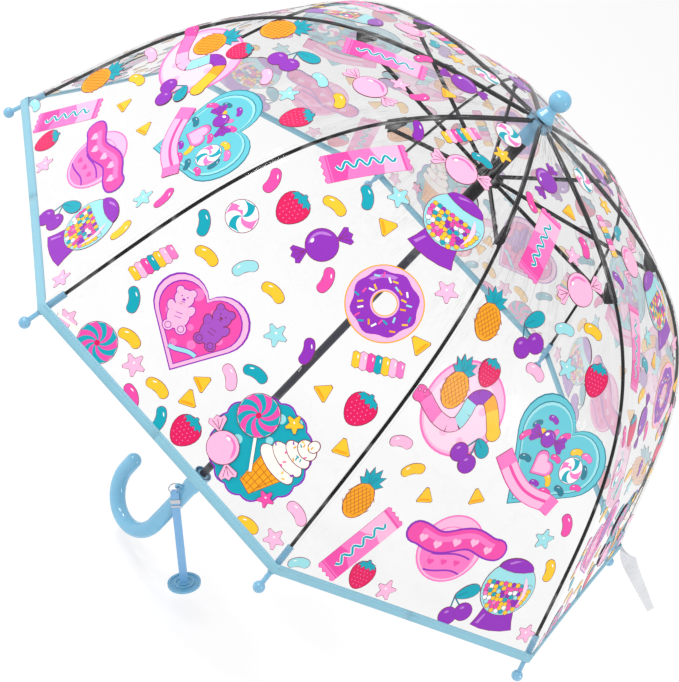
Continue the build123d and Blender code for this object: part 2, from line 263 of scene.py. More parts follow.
def middleProfile():
    # (distance down the film, radius, height, outward radius part, outward height part) at mid-panel
    line = [(canopy["crownRadius"], notchPivot[1] + 0.9)]
    line += [bezier(upperCurve, i / 40) for i in range(41)]
    line += [bezier(lowerCurve, i / 60) for i in range(1, 61)] + [(canopy["hemRadius"], 0)]
    rows = []
    for i, point in enumerate(line):
        before, after = line[max(i - 1, 0)], line[min(i + 1, len(line) - 1)]
        run, fall = after[0] - before[0], after[1] - before[1]
        size = hypot(run, fall)
        outward = (-fall / size, run / size)
        share = max(0.0, (point[0] - ribJoint[0]) / (canopy["hemRadius"] - ribJoint[0]))
        gap = canopy["gap"] + share * (canopy["gapAtHem"] - canopy["gap"])
        rows.append(((point[0] + gap * outward[0]) * squeeze, point[1] + gap * outward[1], *outward))
    profile, down = [], 0.0
    for i, row in enumerate(rows):
        if i:
            down += hypot(row[0] - rows[i - 1][0], row[1] - rows[i - 1][1])
        profile.append((down, *row))
    return profile


profile = middleProfile()
hemDown = profile[-1][0]
jointDown = next(p[0] for p in profile if p[1] >= (ribJoint[0] + 1.2) * squeeze)


def profileAt(down):
    down = min(max(down, 0.0), hemDown)
    for low, high in zip(profile, profile[1:]):
        if down <= high[0]:
            t = (down - low[0]) / max(high[0] - low[0], 1e-9)
            return tuple(a + (b - a) * t for a, b in zip(low[1:], high[1:]))
    return profile[-1][1:]


def halfWidth(down):
    return profileAt(down)[0] * tan(halfTurn)


def filmPoint(panel, across, down, proud=0.0):
    radius, height, outRadius, outHeight = profileAt(down)
    half = radius * tan(halfTurn)
    dip = canopy["sag"] * half / canopy["sagWidth"] * (1 - (across / half) ** 2)
    radius += outRadius * (proud - dip)
    height += outHeight * (proud - dip)
    turn = (2 * panel - 1) * halfTurn
    return Vector((radius * cos(turn) - across * sin(turn), radius * sin(turn) + across * cos(turn),
                   height + canopy["hemHeight"])) * mm


def panelBeside(rib, side):  # the panel after the rib for side 1, the one before it for side -1
    return rib if side > 0 else (rib - 2) % canopy["ribs"] + 1


def foldWithRib(piece, rib, zone):
    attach(piece, f"rib_{zone}_{rib}")
    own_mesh(piece)


def newPiece(name, points, faces, material, smooth=True):
    mesh = bpy.data.meshes.new(name)
    mesh.from_pydata([tuple(p) for p in points], [], faces)
    mesh.materials.append(material)
    mesh.polygons.foreach_set("use_smooth", [smooth] * len(mesh.polygons))
    piece = bpy.data.objects.new(name, mesh)
    scene.collection.objects.link(piece)
    return piece


def gridFaces(rows, wide):
    firsts = [row * wide + column for row in range(rows) for column in range(wide - 1)]
    return [(first, first + wide, first + wide + 1, first + 1) for first in firsts]


def setFlatMap(piece, flat):  # one place on the flat film for each point
    layer = piece.data.uv_layers.new(name="flat")
    for corner in piece.data.loops:
        layer.data[corner.index].uv = flat[corner.vertex_index]


def makeFilmFinish():
    finish = Finish("clearFilm", IOR=1.45, Specular_IOR_Level=0.7, Coat_Weight=0.6, Coat_Roughness=0.05)
    flat = finish.ownMap("flat")
    across, down = finish.part(flat, "X"), finish.part(flat, "Y")
    place = finish.place()
    fan = across / (down + 0.02)
    rays = finish.node("ShaderNodeCombineXYZ", None, {"X": fan * 5.0, "Y": down * 2.0, "Z": 0.0})
    pulls = finish.noise(rays, 3.2, 5, 0.62)
    patches = finish.noise(place, 16, 2).over(0.44, 0.6)
    nearCrown = 1 - down.over(0.03, 0.28)
    # painted shade: the crease lines darken the film's colour below; shine marks painted white highlight lines
    # beside them
    shadedCrease = pulls.near(0.47, 34) * nearCrown * patches
    shine = pulls.near(0.53, 30) * nearCrown * patches
    slack = finish.noise(place, 9, 4, 0.55)
    glint = slack.near(0.52, 30, 0.2) * down.over(0.05, 0.2) * 0.5
    weltEdge = abs(across).near(0.0030, 2500)
    facing = finish.node("ShaderNodeLayerWeight", None, {"Blend": 0.35}, "Facing")
    grazing = facing ** 2.4
    dust = finish.noise(place, 420, 2).over(0.66, 0.74)
    # painted reflection: the film's colour pales where it is seen at a grazing angle
    paintedLightTint = finish.blendColour(grazing, (0.05, 0.05, 0.055), (0.62, 0.64, 0.68))
    # painted shade in the creases; the dark lines along the welded seams are the seams' own colour
    paintedLightTint = finish.blendColour((shadedCrease + weltEdge * 0.6).over(0.0, 1.0), paintedLightTint, (0.05, 0.05, 0.06))
    return finish.surface(
        # painted highlights: shine and glint turn the colour white
        Base_Color=finish.blendColour((shine + glint).over(0.0, 1.0), paintedLightTint, (1.0, 1.0, 1.0)),
        Roughness=0.05 + slack * 0.08 + shadedCrease * 0.15 + dust * 0.1,
        Alpha=(0.10 + grazing * 0.2 + shadedCrease * 0.5 + shine * 0.5 + glint * 0.22 + weltEdge * 0.22
               + dust * 0.03).over(0.0, 1.0),
        Normal=finish.bump(pulls * 0.5 + slack * 1.4, 0.004, 0.5))


filmFinish = makeFilmFinish()


def zoneRows(zone):
    start, end = (0.0, jointDown) if zone == "upper" else (jointDown, hemDown)
    count = max(4, round((end - start) / canopy["rowStep"]))
    return [start + (end - start) * i / count for i in range(count + 1)]


def makeFilm(rib, zone):
    rows, columns = zoneRows(zone), canopy["columns"]
    points, flat = [], []
    for down in rows:
        half = halfWidth(down)
        for column in range(-columns, columns + 1):
            side, inward = 1 if column >= 0 else -1, 1 - abs(column) / columns  # inward is 1 at the rib
            points.append(filmPoint(panelBeside(rib, side), -side * half * inward, down))
            flat.append((side * half * (1 - inward) * mm, down * mm))
    faces = gridFaces(len(rows) - 1, 2 * columns + 1)
    film = newPiece(f"film_{zone}_{rib}", points, faces, filmFinish)
    setFlatMap(film, flat)
    area = sum((halfWidth(a) + halfWidth(b)) * (b - a) for a, b in zip(rows, rows[1:])) * mm * mm
    widest = 2 * halfWidth(rows[-1]) * mm
    return film, (widest, (rows[-1] - rows[0]) * mm), area


binding = {"height": 8.0, "under": 0.7, "proud": 0.9, "steps": 14, "weave": 9000}


def makeBindingFinish():
    finish = Finish("hemRibbon", Sheen_Weight=0.25, Sheen_Roughness=0.4)
    ribbon = finish.ownMap("flat")
    warp, weft = [(finish.part(ribbon, axis) * binding["weave"]).sine() for axis in ("X", "Y")]
    weave = warp * weft * 0.5 + 0.5
    wear = finish.noise(finish.place(), 45, 3)
    base = screenColour(140, 196, 216)
    return finish.surface(
        Base_Color=finish.blendColour(weave * 0.5 + wear * 0.4, shade(base, 0.84), shade(base, 1.1)),
        Roughness=0.42 + weave * 0.2,
        Normal=finish.bump(weave, 0.00012, 0.7))


bindingFinish = makeBindingFinish()
threadFinish = mouldedPlastic("sewingThread", screenColour(164, 208, 226), 0.5, grain=3000)


def hemStations(rib, steps, ownSide):  # (distance from the rib, panel, across) along the hem past one rib
    half = halfWidth(hemDown)
    shares = [(-1, 1 - i / steps) for i in range(steps + 1)] + [(1, i / steps) for i in range(steps + 1)]
    shares.pop(steps if ownSide > 0 else steps + 1)     # the rib's own station is used once
    return [(side * share * half, panelBeside(rib, side), -side * half * (1 - share)) for side, share in shares]


def makeBinding(rib):  # a ribbon folded over the film's edge
    height, under, proud = binding["height"], binding["under"], binding["proud"]
    loop = [(height, -under), (0.6, -under - 0.1), (-0.5, -0.2), (-0.5, 0.3), (0.6, proud),
            (height * 0.5, proud + 0.12), (height, proud), (height + 0.2, 0.1)]
    points, flat, faces = [], [], []
    stations = hemStations(rib, binding["steps"], 1)
    for fromRib, panel, across in stations:
        for up, rise in loop:
            points.append(filmPoint(panel, across, hemDown - max(up, 0.0), rise)
                          + Vector((0, 0, min(up, 0.0) * mm)))
            flat.append((fromRib * mm, (up + 3 * min(rise, 0)) * mm))
    ring, last = len(loop), len(loop) * (len(stations) - 1)
    for start in range(0, last, ring):
        for i in range(ring):
            first, second = start + i, start + (i + 1) % ring
            faces.append((first, second, second + ring, first + ring))
    faces += [tuple(range(ring - 1, -1, -1)), tuple(range(last, last + ring))]
    ribbon = newPiece(f"binding_{rib}", points, faces, bindingFinish)
    setFlatMap(ribbon, flat)
    return ribbon


stitches = {"pitch": 3.2, "length": 2.1, "thick": 0.32, "fromHem": 6.6, "proud": 0.15, "steps": 12}


def stitchTree():
    tree = bpy.data.node_groups.new("hemStitches", "GeometryNodeTree")
    for name, kind in (("Geometry", "NodeSocketGeometry"), ("Pitch", "NodeSocketFloat"),
                       ("Stitch length", "NodeSocketFloat"), ("Thread radius", "NodeSocketFloat"),
                       ("Thread", "NodeSocketMaterial")):
        tree.interface.new_socket(name, in_out="INPUT", socket_type=kind)
    tree.interface.new_socket("Geometry", in_out="OUTPUT", socket_type="NodeSocketGeometry")
    add, link = tree.nodes.new, tree.links.new
    given, out = add("NodeGroupInput"), add("NodeGroupOutput")
    toCurve, resample = add("GeometryNodeMeshToCurve"), add("GeometryNodeResampleCurve")
    resample.mode = "LENGTH"
    link(given.outputs["Geometry"], toCurve.inputs[0])
    link(toCurve.outputs[0], resample.inputs["Curve"])
    link(given.outputs["Pitch"], resample.inputs["Length"])
    thread = add("GeometryNodeMeshCylinder")
    thread.inputs["Vertices"].default_value = 6
    link(given.outputs["Thread radius"], thread.inputs["Radius"])
    link(given.outputs["Stitch length"], thread.inputs["Depth"])
    tangent, align = add("GeometryNodeInputTangent"), add("FunctionNodeAlignRotationToVector")
    align.axis = "Z"
    link(tangent.outputs[0], align.inputs["Vector"])
    place = add("GeometryNodeInstanceOnPoints")
    link(resample.outputs[0], place.inputs["Points"])
    link(thread.outputs["Mesh"], place.inputs["Instance"])
    link(align.outputs[0], place.inputs["Rotation"])
    real, paint = add("GeometryNodeRealizeInstances"), add("GeometryNodeSetMaterial")
    link(place.outputs[0], real.inputs[0])
    link(real.outputs[0], paint.inputs["Geometry"])
    link(given.outputs["Thread"], paint.inputs["Material"])
    link(paint.outputs[0], out.inputs[0])
    return tree


stitchMaker = stitchTree()


def baked(piece, name):  # the evaluated shape as a plain mesh in a new object
    bpy.context.view_layer.update()
    mesh = bpy.data.meshes.new_from_object(piece.evaluated_get(bpy.context.evaluated_depsgraph_get()))
    mesh.name = name
    bpy.data.objects.remove(piece)
    made = bpy.data.objects.new(name, mesh)
    scene.collection.objects.link(made)
    return made


def makeStitches(rib):
    down, proud = hemDown - stitches["fromHem"], binding["proud"] + stitches["proud"]
    stations = hemStations(rib, stitches["steps"], -1)
    line = [filmPoint(panel, across, down, proud) for fromRib, panel, across in stations]
    guide = newPiece(f"guide_{rib}", line, [], threadFinish)
    guide.data.edges.add(len(line) - 1)
    for i, edge in enumerate(guide.data.edges):
        edge.vertices = (i, i + 1)
    modifier = guide.modifiers.new("stitches", "NODES")
    modifier.node_group = stitchMaker
    sizes = {"Pitch": stitches["pitch"] * mm, "Stitch length": stitches["length"] * mm,
             "Thread radius": stitches["thick"] * mm, "Thread": threadFinish}
    for item in stitchMaker.interface.items_tree:
        if item.in_out == "INPUT" and item.name in sizes:
            modifier[item.identifier] = sizes[item.name]
    return baked(guide, f"stitches_{rib}")


# A motif is a list of (level, colour, points); x is to the right and y up towards the crown, in mm
inks = {name: screenColour(*value) for name, value in {
    "hotPink": (243, 76, 170), "pink": (252, 122, 196), "lightPink": (255, 186, 222),
    "palePink": (255, 214, 234), "teal": (0, 166, 184), "aqua": (158, 224, 230), "deepTeal": (20, 124, 146),
    "purple": (146, 44, 186), "grape": (166, 80, 194), "lilac": (190, 120, 214), "yellow": (255, 200, 44),
    "orange": (255, 168, 24), "white": (252, 252, 252), "maroon": (136, 44, 78), "berry": (228, 18, 92),
    "amber": (196, 112, 20), "cream": (255, 249, 238), "lagoon": (98, 198, 212),
}.items()}


def around(steps):
    return [2 * pi * i / steps for i in range(steps)]


def polar(radius, angle, x=0.0, y=0.0):
    return x + radius * cos(angle), y + radius * sin(angle)


def arcLine(x, y, radius, start, end, steps):  # from start to end in degrees
    return [polar(radius, radians(start + (end - start) * i / steps), x, y) for i in range(steps + 1)]


def placed(points, x=0.0, y=0.0, turn=0.0, size=1.0):
    c, s = cos(radians(turn)) * size, sin(radians(turn)) * size
    return [(x + px * c - py * s, y + px * s + py * c) for px, py in points]


def moved(motif, x=0.0, y=0.0, turn=0.0, size=1.0, lift=0):
    return [(level + lift, colour, placed(points, x, y, turn, size)) for level, colour, points in motif]


def oval(x, y, wide, tall=None, turn=0, steps=18):
    return placed([(wide * cos(a), (tall or wide) * sin(a)) for a in around(steps)], x, y, turn)


def grown(points, extra):  # the outline moved out by about extra, from its middle
    mx, my = sum(p[0] for p in points) / len(points), sum(p[1] for p in points) / len(points)
    out = []
    for px, py in points:
        far = max(hypot(px - mx, py - my), 0.1)
        out.append((mx + (px - mx) * (far + extra) / far, my + (py - my) * (far + extra) / far))
    return out


def edged(points, colour, edge="maroon", extra=0.65, level=0):
    return [(level, edge, grown(points, extra)), (level + 1, colour, points)]


def sideways(start, end, wide):  # half of wide, square to the way from start to end
    length = hypot(end[0] - start[0], end[1] - start[1])
    return -(end[1] - start[1]) / length * wide / 2, (end[0] - start[0]) / length * wide / 2


def stripe(start, end, wide):
    (x, y), (farX, farY), (nx, ny) = start, end, sideways(start, end, wide)
    return [(x + nx, y + ny), (x - nx, y - ny), (farX - nx, farY - ny), (farX + nx, farY + ny)]


def dash(x, y, reach, angle, wide):  # a stripe with its middle at x, y
    dx, dy = polar(reach, angle)
    return stripe((x - dx, y - dy), (x + dx, y + dy), wide)


def band(inner, outer, colour, level=0):  # the ring between two loops of the same length
    n = len(inner)
    return [(level, colour, [inner[i], outer[i], outer[(i + 1) % n], inner[(i + 1) % n]]) for i in range(n)]


def ribbonLine(points, wide, colour, level=0):
    sides = []
    for i, (x, y) in enumerate(points):
        nx, ny = sideways(points[max(i - 1, 0)], points[min(i + 1, len(points) - 1)], wide)
        sides.append(((x + nx, y + ny), (x - nx, y - ny)))
    return [(level, colour, [a[0], a[1], b[1], b[0]]) for a, b in zip(sides, sides[1:])]


def pipedLine(points, level, *layers):  # each line lies on the one before it
    return [face for i, (wide, colour) in enumerate(layers)
            for face in ribbonLine(points, wide, colour, level + i)]


def nested(shape, *layers):  # one shape in several sizes, each on the one before it
    return [(level, colour, shape(size)) for level, (size, colour) in enumerate(layers)]


def spots(level, colour, steps, *places):
    return [(level, colour, oval(x, y, radius, steps=steps)) for x, y, radius in places]


def smoothLine(points, steps=4):  # a soft curve through the points
    ends = [points[0]] + points + [points[-1]]
    line = []
    for four in zip(ends, ends[1:], ends[2:], ends[3:]):
        for i in range(steps):
            t = i / steps
            line.append(tuple(0.5 * (2 * b + (c - a) * t + (2 * a - 5 * b + 4 * c - d) * t * t
                                     + (3 * b - a - 3 * c + d) * t ** 3) for a, b, c, d in zip(*four)))
    return line + [points[-1]]


def bean(colour):
    spine, half, reach = 14.0, 4.3, 26  # radius of its middle line, half its width, degrees to each end
    right = polar(spine, radians(90 - reach), 0, -spine)
    left = (-right[0], right[1])
    body = (arcLine(0, -spine, spine + half, 90 - reach, 90 + reach, 6)
            + arcLine(*left, half, 90 + reach, 270 + reach, 7)[1:]
            + arcLine(0, -spine, spine - half, 90 + reach, 90 - reach, 5)[1:]
            + arcLine(*right, half, 270 - reach, 450 - reach, 7)[1:-1])
    return edged(body, colour, extra=0.55) + [(2, "white", oval(-4.6, 1.1, 1.9, 0.55, 24, 8))]


def star(colour):
    tips, outer, inner, blunt = 5, 9.2, 4.8, 0.12
    loop = []
    for i in range(tips):
        a = pi / 2 + 2 * pi * i / tips
        loop += [polar(outer, a - blunt), polar(outer, a + blunt), polar(inner, a + pi / tips)]
    return edged(loop, colour, extra=0.5) + [(2, "white", placed(loop, -1, 1.2, 0, 0.132))]


def corn():
    loop = [(-6.6, -4.6), (-5.6, -5.8), (5.6, -5.8), (6.8, -4.4), (1.2, 6.0), (-1.2, 6.0)]
    foot = [(-5.4, -4.8), (5.4, -4.8), (4.2, -2.8), (-4.4, -2.8)]
    return edged(loop, "yellow", extra=0.6) + [(2, "orange", foot)]


def strawberry():
    body = [(12 * cos(a) * (1 + 0.2 * sin(a)), 13.6 * sin(a)) for a in around(22)]
    parts = edged(body, "berry", extra=0.6)
    for row in range(6):
        y = 7.0 - 3.4 * row
        reach = 9.2 * (1 - ((row - 1.2) / 6.2) ** 2)
        count = max(2, int(reach / 1.6))
        for i in range(count):
            x = -reach + 2 * reach * (i + 0.5 * (row % 2)) / count + 0.6
            parts.append((2, "pink", [(x, y - 0.6), (x + 0.6, y), (x, y + 0.7), (x - 0.5, y)]))
    crown = [(-9.5, 8.2), (-6.4, 8.8), (-5.0, 5.8), (-2.6, 9.0), (0, 6.0), (2.6, 9.0), (5.0, 5.8), (6.4, 8.8),
             (9.5, 8.2), (6.8, 12.6), (2.6, 12.8), (1.0, 15.4), (-1.2, 15.2), (-2.0, 12.8), (-6.8, 12.6)]
    return parts + [(3, "maroon", grown(crown, 0.5)), (4, "teal", crown)]


def wrapEnd(colour, side):
    fan = [(0, 0)]
    for i in range(7):
        x, y = polar(15.6 if i % 2 else 13.4, radians(-38 + 76 * i / 6))
        fan.append((x * side, y))
    folds = [(2, "maroon", stripe((3.0 * side, 0), (12.2 * side, y), 0.5)) for y in (-4.8, 0.2, 5.0)]
    return edged(fan, colour, extra=0.5) + folds


def candy(colour, gleam, radius=14.5):
    parts = moved(wrapEnd(colour, 1), radius - 1.5, 0) + moved(wrapEnd(colour, -1), -radius + 1.5, 0)
    parts += [(3, "maroon", oval(0, 0, radius + 0.6, steps=26)), (4, colour, oval(0, 0, radius, steps=26))]
    crescent = arcLine(0, 0, radius * 0.82, 20, 155, 9)
    crescent += [(radius * 0.56 * cos(radians(a)) - 0.4, radius * 0.52 * sin(radians(a)) + 2.0)
                 for a in range(150, 44, -15)]
    return parts + [(5, gleam, crescent), (6, "white", oval(-radius * 0.45, radius * 0.45, 2.2, 1.4, 35, 10))]


def swirl(colours, radius, blades, twist=70):
    steps = 7

    def side(start):
        return [polar(radius * k / steps, radians(start + twist * k / steps)) for k in range(steps + 1)]
    parts = [(0, "maroon", oval(0, 0, radius + 0.55, steps=28)), (1, "white", oval(0, 0, radius, steps=28))]
    for i in range(blades):
        colour = colours[i % len(colours)]
        if colour != "white":
            parts.append((2, colour, side(360 / blades * i) + side(360 / blades * (i + 1))[:0:-1]))
    return parts


def mint():
    return swirl(["teal", "white", "pink", "white"], 13, 8) + [(3, "white", oval(-4, 5, 2.6, 1.4, 40, 10))]


def lollipop(stick=42):
    pole = stripe((0, -14), (0, -14 - stick + 16), 2.4)
    head = swirl(["hotPink", "teal"], 17, 14, 62)
    return edged(pole, "cream", extra=0.4) + moved(head, lift=2) + [(6, "berry", oval(0, 0, 2.4, steps=10))]


def marshmallowTwist():
    parts = []
    for i, colour in enumerate(["pink", "lightPink", "yellow", "teal", "hotPink", "lightPink", "yellow"]):
        y, wide = 18 - 6 * i, 6.6 if i in (0, 6) else 7.4
        pill = [(-wide, -1.4), (-wide + 1.6, -3.4), (wide - 1.6, -2.6), (wide, 0.6), (wide - 1.2, 3.3),
                (-wide + 1.4, 2.6)]
        parts += edged(placed(pill, 0, y), colour, extra=0.45, level=0 if i % 2 else 2)
        parts.append((4, "white", oval(-wide * 0.4, y + 1.1, 1.8, 0.5, 5, 6)))
    return parts


def gumballMachine():
    chance = Random(11)
    base = [(-15, -19), (15, -19), (18.5, -32), (22, -40), (11, -42.6), (0, -43.2), (-11, -42.6), (-22, -40),
            (-18.5, -32)]
    parts = edged(base, "purple", extra=0.6)
    parts += [(2, "lilac", [(-13, -28), (-11, -28), (-15, -38), (-18, -37.5)])]
    parts += [(2, "maroon", oval(0, 0, 27.6, steps=30)), (3, "aqua", oval(0, 0, 27, steps=30))]
    colours = ["hotPink", "yellow", "purple", "teal", "white", "pink", "hotPink", "yellow", "aqua"]
    for row in range(8):
        y = 4.0 - 3.9 * row
        reach = (26.4 ** 2 - y * y) ** 0.5 - 2.0
        count = int(2 * reach / 4.3)
        for i in range(count):
            x = -reach + (i + 0.5) * 2 * reach / count + chance.uniform(-0.4, 0.4)
            rise, tone = y + chance.uniform(-0.5, 0.5), colours[chance.randrange(len(colours))]
            step = 4 + 2 * ((i + row) % 2)
            parts += [(step, "maroon", oval(x, rise, 2.6, steps=9)),
                      (step + 1, tone, oval(x, rise, 2.25, steps=9))]
    cap = [(18 * cos(radians(a)), 19.5 + 10.5 * sin(radians(a))) for a in range(0, 181, 15)]
    cap += [(-9, 17.2), (0, 16.4), (9, 17.2)]
    parts += edged(cap, "purple", extra=0.6, level=8)
    glass = [(13, 14), (16, 11), (20, 3), (20, -6), (16, -16), (17, -5), (15, 5)]
    shine = [(-10, 24.5), (-4, 27.4), (3, 28), (-2, 26), (-8, 23.2)]
    return parts + [(8, "palePink", glass), (10, "lilac", shine)]


def donut():
    chance = Random(5)
    wavy = [((26.4 + 1.2 * sin(8 * a) + 0.6 * sin(3 * a)) * cos(a), (26.4 + 1.2 * sin(8 * a)) * sin(a))
            for a in around(48)]
    hole, inner, outer, rim, icing = [oval(0, 0, r, steps=48) for r in (9.4, 10.2, 30.4, 31.4, 11.4)]
    parts = band(hole, rim, "orange", 0) + band(inner, outer, "lightPink", 1) + band(icing, wavy, "purple", 2)
    parts.append((3, "lilac", arcLine(0, 0, 23.5, 110, 170, 6) + arcLine(0, 0, 20.5, 165, 115, 5)))
    colours = ["yellow", "white", "hotPink", "teal", "orange", "aqua"]
    for i in range(26):
        radius, lean = chance.choice([15, 19, 23]), radians(chance.uniform(0, 180))
        parts.append((4, colours[i % 6], dash(*polar(radius, radians(360 / 26 * i * 5 % 360)), 2.3, lean, 1.5)))
    return parts


def chocolateBar():
    wide, tall = 11.4, 35.5
    teeth = [(-wide + 2 * wide * i / 8, tall + (0.9 if i % 2 else -0.9)) for i in range(9)]
    outline = teeth[::-1] + [(-px, -py) for px, py in teeth[::-1]]
    parts = edged(outline, "pink", "hotPink", 0.6)
    wave = [(-wide, 6), (-4, 9), (2, 14), (wide, 12), (wide, 30), (-wide, 30)]
    lower = [(-wide, -30), (wide, -30), (wide, -19), (3, -16), (-3, -11), (-wide, -13)]
    parts += [(2, "lightPink", wave), (2, "hotPink", lower)]
    parts += [(3, "hotPink", stripe((-wide, y), (wide, y), 1.1)) for y in (31.5, -31.5)]
    loops = [(3.0 * sin(i * 0.95) - 0.4, 25 - 50 * i / 30) for i in range(31)]
    return parts + pipedLine(loops, 3, (3.3, "white"), (2.0, "teal"))


def pineapple():
    parts = edged(oval(0, -5, 12.2, 15.6, steps=24), "orange", extra=0.6)
    for lean in (-38, 38):
        for i in range(-4, 5):
            shift = i * 4.6
            reach = 11.5 * (1 - (shift / 21.0) ** 2) ** 0.5
            x, y = polar(shift * 0.72, radians(lean), 0, -5)
            parts.append((2, "amber", dash(x, y, reach, radians(90 + lean), 0.55)))
    leaves = [(-7, 8.5), (-11.5, 13), (-7.5, 14), (-10.5, 20.5), (-5, 18), (-4.2, 24.5), (-0.4, 19.5),
              (3.4, 25), (5, 18.5), (10.6, 20.5), (7.6, 14.2), (12.6, 13.2), (7, 8.5), (0, 11)]
    parts += edged(leaves, "teal", extra=0.55, level=3)
    return parts + [(5, "deepTeal", stripe((x * 0.3, 11), (x, 18), 0.5)) for x in (-5, -2, 2, 5)]


def cherries(top=(-9, 9), leafTip=(9, 24), fruits=((7, -1), (-5, -9))):
    parts = [(0, "deepTeal", stripe(top, fruit, 1.3)) for fruit in fruits]
    for x, y in fruits:
        parts += edged(oval(x, y, 8.4, steps=20), "purple", extra=0.55, level=1)
        parts.append((3, "lilac", oval(x - 3.0, y + 3.2, 2.2, 1.2, 40, 8)))
    lean = atan2(leafTip[1] - top[1], leafTip[0] - top[0])
    length = hypot(leafTip[0] - top[0], leafTip[1] - top[1])
    leaf = [(length * (0.5 - 0.5 * cos(a)), 5.2 * sin(a) * (1.15 - 0.3 * cos(a))) for a in around(16)]
    leaf = placed(leaf, *top, lean * 180 / pi)
    middle = ((top[0] + leafTip[0]) / 2, (top[1] + leafTip[1]) / 2)
    return parts + edged(leaf, "teal", extra=0.55, level=4) + [(6, "deepTeal", stripe(top, middle, 0.6))]


def rightLeafCherries():
    return cherries((5, 20), (20, 8), ((-6, 4), (7, -3)))


def heart(size):
    half = arcLine(0.47 * size, 0.30 * size, 0.56 * size, 147, -44.4, 12)
    return [(0, -0.98 * size)] + half[::-1] + [(-x, y) for x, y in half[1:]]


def gummyBear(colour, edge):
    shapes = [oval(-5.4, 17, 3.2, steps=12), oval(5.4, 17, 3.2, steps=12), oval(0, 11.5, 8, 7.2, steps=18),
              oval(0, -3, 9.4, 11, steps=18), oval(-8.4, 3, 3.4, 4.6, 25, 12), oval(8.4, 3, 3.4, 4.6, -25, 12),
              oval(-5.6, -13, 4.6, 4.2, steps=12), oval(5.6, -13, 4.6, 4.2, steps=12)]
    parts = [(0, edge, grown(s, 0.7)) for s in shapes] + [(1, colour, s) for s in shapes]
    parts += [(2, edge, oval(-2.6, 13, 0.7, steps=6)), (2, edge, oval(2.6, 13, 0.7, steps=6)),
              (2, edge, oval(0, 10.4, 1.5, 1.0, steps=8)), (2, edge, stripe((-1.8, 8.4), (1.8, 8.4), 0.5))]
    for x, y in ((-5.6, -13), (5.6, -13)):
        parts += band(oval(x, y, 2.4, steps=10), oval(x, y, 3.0, steps=10), edge, 2)
    return parts + [(2, edge, stripe((-3, y), (3, y), 0.5)) for y in (-1, -4.5)]


def bearHeart():
    parts = nested(heart, (38.5, "purple"), (37, "lightPink"), (33.2, "purple"), (32.2, "hotPink"))
    parts += spots(4, "pink", 14, (-9, 22, 4.8), (5, -13, 3.6), (-2, -2, 2.6), (-22, 2, 4.0), (22, 0, 3.0),
                   (8, 16, 2.2), (-8, -18, 3))
    parts += moved(gummyBear("lightPink", "purple"), -15, 4, 10, 0.92, 5)
    parts += moved(gummyBear("grape", "maroon"), 14, 6, -6, 0.92, 5)
    ribbon = [(x, -20 + 1.6 * sin(x / 5)) for x in range(-10, 13, 2)]
    return parts + pipedLine(ribbon, 4, (4.4, "purple"), (3.0, "aqua"))


def sweetsHeart():
    parts = nested(heart, (47, "deepTeal"), (46, "lagoon"), (41.6, "deepTeal"), (40.8, "aqua"),
                   (38.6, "lagoon"))
    sweets = [("purple", -24, 25, 10, .55), ("deepTeal", -34, 12, 60, .5), ("yellow", -26, 8, 80, .55),
              ("hotPink", -36, -2, 70, .6), ("pink", -14, 16, 100, .55), ("hotPink", -5, 22, 60, .6),
              ("yellow", 14, 22, 40, .6), ("pink", 26, 26, 10, .6), ("deepTeal", 34, 16, -40, .6),
              ("hotPink", 38, 2, 30, .55), ("hotPink", 3, 5, 10, .55), ("deepTeal", -20, -14, 20, .6),
              ("yellow", 12, -12, -30, .6), ("purple", 4, -22, 20, .5), ("deepTeal", 28, -10, 0, .6),
              ("hotPink", 18, -20, 20, .6)]
    for colour, x, y, turn, size in sweets:
        parts += moved(bean(colour), 0.94 * x, 0.9 * y, turn, 0.9 * size, 5)
    parts += moved(candy("purple", "lilac", 7.6), -15, 9, 18, 0.84, 6) + moved(mint(), 21, 7, 20, 0.8, 6)
    parts += moved(nested(heart, (11, "maroon"), (10.4, "pink"), (8.2, "lightPink")), -3, -8, -18, 1, 6)
    fold = [(-36, -23), (-24.5, -26.5), (-12.5, -29.5), (1, -30.5), (13.5, -28), (24.5, -23.5), (34, -22.5)]
    parts += pipedLine(smoothLine(fold), 10, (14.8, "hotPink"), (13.4, "lightPink"))
    parts += ribbonLine(fold[:2], 13.4, "pink", 12) + ribbonLine(fold[-2:], 13.4, "pink", 12)
    return parts + ribbonLine(smoothLine([(x, y + 0.8) for x, y in fold[1:-1]]), 2.4, "hotPink", 12)


def wormRoundel():
    parts = [(0, "pink", oval(0, 0, 40, steps=40)), (1, "lightPink", oval(0, 0, 38, steps=40)),
             (2, "palePink", oval(-2, -3, 33, steps=36))]
    parts += spots(3, "lightPink", 12, (-22, -14, 3), (-8, -22, 4), (10, -24, 3), (18, 4, 3.6), (-24, 12, 2.6),
                   (2, -12, 2.4))
    path = [(-45, -2), (-38, -4), (-30, -9), (-20, -14), (-8, -16), (0, -12), (3, -2), (4, 8), (9, 14),
            (18, 15), (26, 8), (33, -2), (37, -8)]
    tones = ["hotPink", "pink", "pink", "lightPink", "lightPink", "aqua", "aqua", "purple", "purple", "orange",
             "yellow", "yellow"]
    curve = smoothLine(path)
    parts += ribbonLine(curve, 12.6, "maroon", 4)
    for i, tone in enumerate(tones):
        parts += ribbonLine(curve[4 * i:4 * i + 5], 11.4, tone, 5)
    for end, tone in ((path[0], "hotPink"), (path[-1], "yellow")):
        parts += [(4, "maroon", oval(*end, 7.2, steps=16)), (5, tone, oval(*end, 6.6, steps=16))]
    for x, y in ((-47, 0.5), (-42, 1)):
        parts += [(6, "maroon", oval(x, y, 1.7, steps=8)), (7, "pink", oval(x, y, 1.2, steps=8))]
    parts += moved(pineapple(), -16, 16, 0, 0.98, 6) + moved(strawberry(), 8, 34, -6, 0.84, 12)
    return parts + moved(rightLeafCherries(), 21, -36, 0, 0.95, 8)


